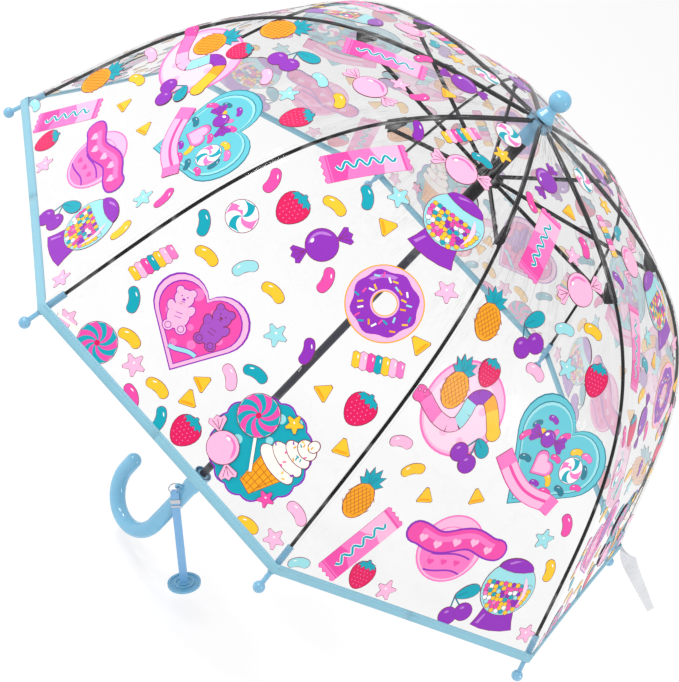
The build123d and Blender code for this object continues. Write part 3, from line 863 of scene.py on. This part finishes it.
def bannerRoundel():  # two plain wavy banners, with no lettering
    parts = [(0, "pink", oval(0, 0, 31, steps=34)), (1, "lightPink", oval(0, 0, 29.6, steps=34)),
             (2, "pink", oval(0, -4, 26, 24, steps=30)), (3, "lightPink", oval(-8, 14, 9, 4, 20, 14))]
    upper = [(x, 8 + 0.20 * x + 3.4 * sin(x / 8.5)) for x in range(-38, 43, 4)]
    lower = [(x, -13 + 0.12 * x + 1.8 * sin(x / 7)) for x in range(-14, 25, 3)]
    parts += pipedLine(upper, 4, (21, "purple"), (17.6, "hotPink"))
    parts += ribbonLine([(x, y + 3) for x, y in upper[1:-1]], 5.0, "pink", 6)
    for level, colour, radius in ((4, "purple", 10.5), (5, "hotPink", 8.8)):
        parts += spots(level, colour, 16, (*upper[0], radius), (*upper[-1], radius))
    parts += pipedLine(lower, 4, (17, "purple"), (13.8, "pink"))
    parts += [(7, "lightPink", placed(heart(4), x, y - 2.5, 8)) for x, y in upper[2:-1:4]]
    return parts + [(7, "hotPink", placed(heart(3), x, y, 8)) for x, y in lower[1:-1:4]]


def iceCream():
    cone = [(-13, -4), (13, -4), (8.5, -31), (-4.5, -31)]
    parts = edged(cone, "orange", extra=0.6)
    for i in range(5):
        foot = (4.0 * i - 3, -30) if i < 4 else (8, -24)
        parts.append((2, "amber", stripe((-12 + 5.4 * i, -5), foot, 0.6)))
        parts.append((2, "amber", stripe((-11 + i * 1.2, -8 - 5.4 * i), (12 - i * 0.8, -5.5 - 5.0 * i), 0.6)))
    chance = Random(3)
    tiers = ((0, 18.5, 7.6), (9, 16, 7), (18, 12.4, 6.4), (26, 8.4, 6.4), (32, 4.0, 4.8))
    for i, (y, wide, tall) in enumerate(tiers):
        parts += edged(oval(y * 0.12, y, wide, tall, 6, 22), "cream", extra=0.7, level=3 + 2 * i)
    colours = ["hotPink", "teal", "yellow", "purple", "orange"]
    for i in range(20):
        y = chance.uniform(-3, 30)
        x = chance.uniform(-1, 1) * (16 - y * 0.38)
        lean = chance.uniform(0, pi)
        parts.append((13, colours[i % 5], stripe((x, y), polar(2.6, lean, x, y), 1.0)))
    return parts


def treatBadge():
    scallop = [polar(39.5 + 2.4 * abs(sin(8 * a)), a) for a in around(80)]
    inner = [(x * 0.965, y * 0.965) for x, y in scallop]
    parts = [(0, "purple", scallop), (1, "teal", inner)]
    parts += spots(2, "aqua", 12, (-6, 28, 4), (6, 36, 3), (-18, -8, 4), (0, 10, 3), (30, -24, 3), (-4, -34, 3),
                   (12, 0, 2.4))
    parts += moved(iceCream(), 17, 2, -12, 1.0, 3) + moved(lollipop(46), -20, 17, 38, 1.0, 17)
    parts += moved(candy("lightPink", "pink"), -21, -21, -32, 0.9, 17)
    parts += moved(star("yellow"), 4, 33, 12, 0.8, 17) + moved(star("hotPink"), 31, -23, 0, 0.74, 17)
    return parts


def coloured(motif, *colours):
    return lambda: motif(*colours)


candyPink, candyPurple = coloured(candy, "lightPink", "pink"), coloured(candy, "purple", "lilac")
hotBean, pinkBean, tealBean = coloured(bean, "hotPink"), coloured(bean, "lightPink"), coloured(bean, "teal")
aquaBean, yellowBean, purpleBean = coloured(bean, "aqua"), coloured(bean, "yellow"), coloured(bean, "purple")
pinkStar, aquaStar, yellowStar = coloured(star, "lightPink"), coloured(star, "aqua"), coloured(star, "yellow")

# (what, across, down, turn, size): across from the panel's middle and down from the crown, in mm
firstPrint = [
    (candyPurple, -12, 75, 62, .85), (corn, 12, 96, -10, 1.1), (hotBean, -35, 110, 110, .95),
    (hotBean, 28, 127, -70, .95), (chocolateBar, -24, 147, -22, 1.02), (pinkStar, 13, 142, 5, .95),
    (candyPink, 22, 170, 32, 1.0), (yellowBean, 42, 199, -8, 1.0), (aquaBean, 11, 209, 12, 1.0),
    (pineapple, -67, 228, -6, 1.0), (cherries, -22, 231, 0, 1.0), (aquaStar, 24, 239, 0, 1.0),
    (strawberry, 57, 238, 0, 1.0), (pinkBean, -6, 252, -15, 1.0), (wormRoundel, -58, 304, 0, 1.0),
    (sweetsHeart, 44, 313, -21, 1.1), (pinkBean, -97, 346, 8, 1.0), (yellowBean, -74, 363, 30, 1.0),
    (corn, -5, 364, 31, 1.05), (corn, -50, 379, 17, 1.05), (hotBean, 94, 357, -58, 1.0),
    (aquaStar, 80, 376, 10, 1.0), (yellowBean, 104, 399, -68, 1.0), (pineapple, -104, 398, -4, 1.0),
    (bannerRoundel, 0, 413, 0, 1.0), (chocolateBar, -80, 436, -25, 1.0), (gumballMachine, 75, 427, 10, .95),
    (strawberry, -63, 460, 0, .92), (pinkStar, -34, 465, 0, .98), (cherries, 40, 459, 0, 1.0),
    (pinkStar, 119, 459, 0, .95), (aquaBean, -122, 467, 15, .92),
]
secondPrint = [
    (mint, -3, 59, 0, 1.0), (yellowStar, 9, 88, 0, .95), (marshmallowTwist, -24, 111, -18, .95),
    (tealBean, 3, 113, 20, 1.0), (purpleBean, -46, 147, -50, 1.0), (candyPink, 0, 141, 28, 1.0),
    (gumballMachine, 31, 186, 12, .95), (chocolateBar, -50, 208, -27, 1.02), (aquaStar, -12, 208, 0, 1.0),
    (tealBean, -27, 228, -40, 1.0), (corn, 1, 232, -32, 1.1), (pinkStar, 70, 234, 8, 1.0),
    (yellowBean, -39, 252, 8, 1.0), (donut, 45, 277, 0, 1.0), (candyPurple, -22, 282, 68, .9),
    (hotBean, -85, 276, -70, 1.0), (strawberry, -59, 280, 0, 1.02), (hotBean, 2, 298, -68, 1.0),
    (corn, 86, 279, 85, 1.1), (mint, -81, 313, 15, 1.0), (marshmallowTwist, 77, 313, -56, .98),
    (tealBean, -97, 338, -48, 1.0), (aquaBean, -50, 338, 62, 1.0), (yellowBean, -20, 334, 5, 1.0),
    (yellowBean, -77, 353, 8, 1.0), (aquaStar, 6, 356, 0, 1.0), (purpleBean, 33, 346, -62, 1.0),
    (corn, 64, 357, -12, 1.05), (corn, 105, 376, 30, 1.05), (strawberry, 93, 347, 4, 1.0),
    (marshmallowTwist, -102, 389, -14, .95), (bearHeart, -43, 399, 17, 1.05), (tealBean, 17, 387, 15, 1.0),
    (pinkBean, 6, 404, -32, 1.0), (corn, -6, 423, -18, 1.0), (corn, -5, 440, 30, 1.05),
    (treatBadge, 63, 425, 0, 1.0), (tealBean, -91, 420, -50, 1.0), (yellowBean, -72, 442, 8, 1.0),
    (yellowBean, -28, 452, 6, 1.0), (strawberry, 12, 460, 0, .96), (lollipop, -87, 465, -78, .98),
    (pinkStar, -54, 455, 0, 1.0), (pinkStar, -117, 470, 0, .9),
    (pinkStar, 121, 464, 0, .9), (hotBean, -37, 472, -25, .95), (tealBean, -8, 468, -62, .95),
    (yellowBean, 99, 471, 12, .9), (pinkBean, 119, 436, -10, 1.0),
]
printing = {
    "lift": 0.12,            # mm off the film, and more for each level
    "levelStep": 0.045,
    "strip": 7.5,            # the print is cut this often down the film, to follow its curve
    "stripRoom": 0.4,
    "column": 14.0,          # and this often across it
    "columnRoom": 0.5,
    "leastArea": 0.02,
    "edgeRoom": 1.5,
    "insideFade": 0.5,
}


def keepSide(points, axis, limit, sign):  # the part of a convex outline where sign * coordinate >= sign * limit
    kept = []
    for i, here in enumerate(points):
        before = points[i - 1]
        a, b = sign * (before[axis] - limit), sign * (here[axis] - limit)
        if (a < 0) != (b < 0):
            t = a / (a - b)
            kept.append(tuple(before[k] + (here[k] - before[k]) * t for k in (0, 1)))
        if b >= 0:
            kept.append(here)
    return kept


def doubledArea(points):
    return sum(a[0] * b[1] - b[0] * a[1] for a, b in zip(points, points[1:] + points[:1]))


def convex(points):
    n = len(points)
    for i in range(n):
        (ax, ay), (bx, by), (cx, cy) = points[i], points[(i + 1) % n], points[(i + 2) % n]
        if (bx - ax) * (cy - by) - (by - ay) * (cx - bx) < -1e-6:
            return False
    return True


def convexShapes(points):
    if doubledArea(points) < 0:
        points = points[::-1]
    if convex(points):
        return [points]
    corners = tessellate_polygon([[Vector((x, y, 0)) for x, y in points]])
    shapes = [[points[i] for i in three] for three in corners]
    return [s if doubledArea(s) > 0 else s[::-1] for s in shapes]


def cutPlaces(spread, step, room, extra=()):  # both ends, and the multiples of step with room between them
    low, high = min(spread), max(spread)
    places = [step * i for i in range(-10, 60) if low + room < step * i < high - room]
    return [low - 1] + sorted(places + [place for place in extra if low < place < high]) + [high + 1]


def stripsOf(points):  # cut level, and at the rib joint
    if len(points) < 3:
        return []
    ends = cutPlaces([-p[1] for p in points], printing["strip"], printing["stripRoom"], [jointDown])
    strips = [keepSide(keepSide(points, 1, -top, -1), 1, -bottom, 1) for top, bottom in zip(ends, ends[1:])]
    return [strip for strip in strips if len(strip) > 2]


def columnsOf(points):
    ends = cutPlaces([p[0] for p in points], printing["column"], printing["columnRoom"])
    columns = [keepSide(keepSide(points, 0, near, 1), 0, far, -1) for near, far in zip(ends, ends[1:])]
    return [c for c in columns if len(c) > 2 and abs(doubledArea(c)) > printing["leastArea"]]


def flatPrint(layout):  # convex pieces: (rib side, zone, level, colour, points down the film)
    pieces = []
    for motif, across, down, turn, size in layout:
        for level, colour, outline in moved(motif(), across, -down, turn, size):
            for shape in convexShapes(outline):
                for side in (-1, 1):
                    for strip in stripsOf(keepSide(shape, 0, 0.0, side)):
                        zone = "upper" if -sum(p[1] for p in strip) / len(strip) < jointDown else "lower"
                        pieces += [(side, zone, level, colour, part) for part in columnsOf(strip)]
    return pieces


def drapePrint(panel, pieces, bins):
    for side, zone, level, colour, points in pieces:
        rib = panel if side < 0 else panel % canopy["ribs"] + 1
        lift = printing["lift"] + printing["levelStep"] * level
        for outside in (True, False):
            ink = inks[colour]
            if not outside:
                ink = tuple(c + (0.93 - c) * printing["insideFade"] for c in ink)
            corners = []
            for x, y in points:
                down = min(-y, hemDown - 1)
                room = halfWidth(down) - printing["edgeRoom"]
                corners.append(filmPoint(panel, max(-room, min(room, x)), down, lift if outside else -lift))
            bins.setdefault((rib, zone), []).append((corners if outside else corners[::-1], ink))


def makeInkFinish():
    finish = Finish("printInk", Specular_IOR_Level=0.2, Coat_Weight=0.06, Coat_Roughness=0.1, Sheen_Weight=0.3,
                    Sheen_Roughness=0.35)
    colour = finish.node("ShaderNodeVertexColor", {"layer_name": "ink"})
    place = finish.place()
    mottle = finish.noise(place, 160, 4, 0.6)
    screen = finish.noise(place, 2400, 1)
    patchy = finish.blendColour(mottle * 0.7 + screen * 0.3, (0.55, 0.55, 0.6), (1.0, 1.0, 1.0))
    deep = finish.node("ShaderNodeMix", {"data_type": "RGBA", "blend_type": "MULTIPLY"},
                       {0: 0.16, 6: colour, 7: patchy}, 2)
    return finish.surface(Base_Color=deep, Roughness=0.34 + mottle * 0.16,
                          Normal=finish.bump(screen + mottle * 2, 0.00004, 0.4))


inkFinish = makeInkFinish()


def makePrint(rib, zone, faces):
    points, loops, colours = [], [], []
    for corners, ink in faces:
        loops.append(tuple(range(len(points), len(points) + len(corners))))
        points += corners
        colours += [c for _ in corners for c in (*ink, 1.0)]
    piece = newPiece(f"print_{zone}_{rib}", points, loops, inkFinish, smooth=False)
    piece.data.color_attributes.new("ink", "FLOAT_COLOR", "CORNER").data.foreach_set("color", colours)
    return piece


bins = {}
printsOfPanel = [flatPrint(secondPrint), flatPrint(firstPrint)]
for panel in range(1, canopy["ribs"] + 1):
    drapePrint(panel, printsOfPanel[(panel + 1) % 2], bins)
print("print cut:", sum(len(f) for f in bins.values()), "faces")

for rib in range(1, canopy["ribs"] + 1):
    for zone in ("upper", "lower"):
        film, flatSize, area = makeFilm(rib, zone)
        extras = [(makePrint(rib, zone, bins[(rib, zone)]), "film")]
        if zone == "lower":
            extras += [(makeBinding(rib), "film"), (makeStitches(rib), "film")]
        for piece, slot in [(film, "film")] + extras:
            foldWithRib(piece, rib, zone)
        if zone == "upper":
            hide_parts(f"canopy_panel_{rib}")
print("canopy made")


tie = {
    "start": (366.0, 47.0, 3.0),      # radius, angle in degrees and height over the hem
    "way": (0.603, 0.647, -0.462),
    "length": 92.0,
    "halfWidths": ((0, 10), (30, 7.5), (92, 4)),
    "curl": 3.0,
    "turned": (0.057, 0.544, 0.837),  # the way its width lies once it has twisted off the hem
    "twistRows": 9,
    "rows": 24,
    "columns": 4,
}


def makeTieFinish():
    finish = Finish("tieFilm", IOR=1.45, Coat_Weight=0.5)
    place = finish.place()
    milky = finish.noise(place, 40, 4, 0.6)
    scratch = finish.noise(place, 500, 2, 0.6, (1, 1, 0.1)).over(0.55, 0.7)
    facing = finish.node("ShaderNodeLayerWeight", None, {"Blend": 0.4}, "Facing")
    return finish.surface(
        Base_Color=finish.blendColour(milky, screenColour(196, 202, 210), screenColour(150, 156, 168)),
        Roughness=0.12 + milky * 0.15 + scratch * 0.15,
        Alpha=(0.3 + milky * 0.25 + facing * 0.3 + scratch * 0.12).over(0.0, 1.0),
        Normal=finish.bump(milky + scratch * 0.3, 0.001, 0.5))


def makeTie():
    radius, angle, height = tie["start"]
    start = Vector((radius * cos(radians(angle)), radius * sin(radians(angle)),
                    height + canopy["hemHeight"])) * mm
    way = Vector(tie["way"]).normalized()
    across = way.cross(Vector((0, 0, 1))).normalized()
    rows, columns = tie["rows"], tie["columns"]
    points = []
    level, turned = across, Vector(tie["turned"])
    for row in range(rows + 1):
        twist = min(1.0, row / tie["twistRows"])
        across = (level * (1 - twist) + turned * twist).normalized()
        rise = across.cross(way)
        reach = tie["length"] * row / rows
        for (a, wa), (b, wb) in zip(tie["halfWidths"], tie["halfWidths"][1:]):
            if a <= reach <= b + 1e-6:
                half = wa + (wb - wa) * (reach - a) / (b - a)
                break
        droop = tie["curl"] * sin(pi * row / rows)
        for column in range(-columns, columns + 1):
            share = column / columns
            points.append(start + (way * reach + across * half * share
                                   + rise * (droop - 0.8 * share * share)) * mm)
    return newPiece("closure_tie", points, gridFaces(rows, 2 * columns + 1), makeTieFinish())


closureTie = makeTie()
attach(closureTie, "rib_lower_2")
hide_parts("closure_strap")
print("closure strap made")


studio = {
    "floorSize": 80.0,
    "floorDrop": 0.022,        # room for the lanyard when it hangs upright
    "worldLight": 0.70,
    "camera": (0.7421, -1.2618, 1.0419),
    "ahead": (-0.445, 0.764, -0.467),
    "rightward": (0.459, 0.643, 0.613),
    "lens": 91.84,
    "clip": (0.05, 120),
}
lights = {  # place, height that it looks at, width and power
    "key_light": ((-0.9, -2.0, 2.4), 0.3, 0.9, 30.0),
    "side_light": ((2.4, 0.4, 1.6), 0.3, 0.7, 18.0),
    "glint_light": ((-1.3, -0.9, 1.5), 0.2, 0.12, 9.0),
}


def makeFloor():
    finish = Finish("paleFloor", Emission_Color=(1, 1, 1, 1), Emission_Strength=0.54)
    grain = finish.noise(finish.place(), 35, 3)
    material = finish.surface(Base_Color=finish.blendColour(grain, (0.49, 0.49, 0.49), (0.52, 0.52, 0.52)),
                              Roughness=0.6 + grain * 0.1)
    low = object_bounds()[0].z - studio["floorDrop"]
    half = studio["floorSize"] / 2
    corners = [(-half, -half, low), (half, -half, low), (half, half, low), (-half, half, low)]
    floor = newPiece("studio_floor", corners, [(0, 1, 2, 3)], material)


def makeLight(name, place, target, size, power):
    lamp = bpy.data.lights.new(name, "AREA")
    lamp.shape, lamp.size, lamp.energy = "DISK", size, power
    holder = bpy.data.objects.new(name, lamp)
    scene.collection.objects.link(holder)
    holder.location = place
    holder.rotation_euler = (Vector(target) - Vector(place)).to_track_quat("-Z", "Y").to_euler()


makeFloor()
for name, (place, aim, size, power) in lights.items():
    makeLight(name, place, (0, 0, aim), size, power)
world = bpy.data.worlds.new("studioWorld")
world.use_nodes = True
background = world.node_tree.nodes["Background"].inputs
background["Color"].default_value = (1, 1, 1, 1)
background["Strength"].default_value = studio["worldLight"]
scene.world = world
scene.view_settings.view_transform = "Standard"

lens = bpy.data.cameras.new("camera")
lens.lens, lens.sensor_width = studio["lens"], 36
lens.clip_start, lens.clip_end = studio["clip"]
camera = bpy.data.objects.new("camera", lens)
scene.collection.objects.link(camera)
ahead, right = Vector(studio["ahead"]).normalized(), Vector(studio["rightward"])
right = (right - ahead * right.dot(ahead)).normalized()
up = right.cross(ahead)
turned = Matrix((right, up, -ahead)).transposed().to_4x4()
camera.matrix_world = Matrix.Translation(studio["camera"]) @ turned
scene.camera = camera

print("scene ready")
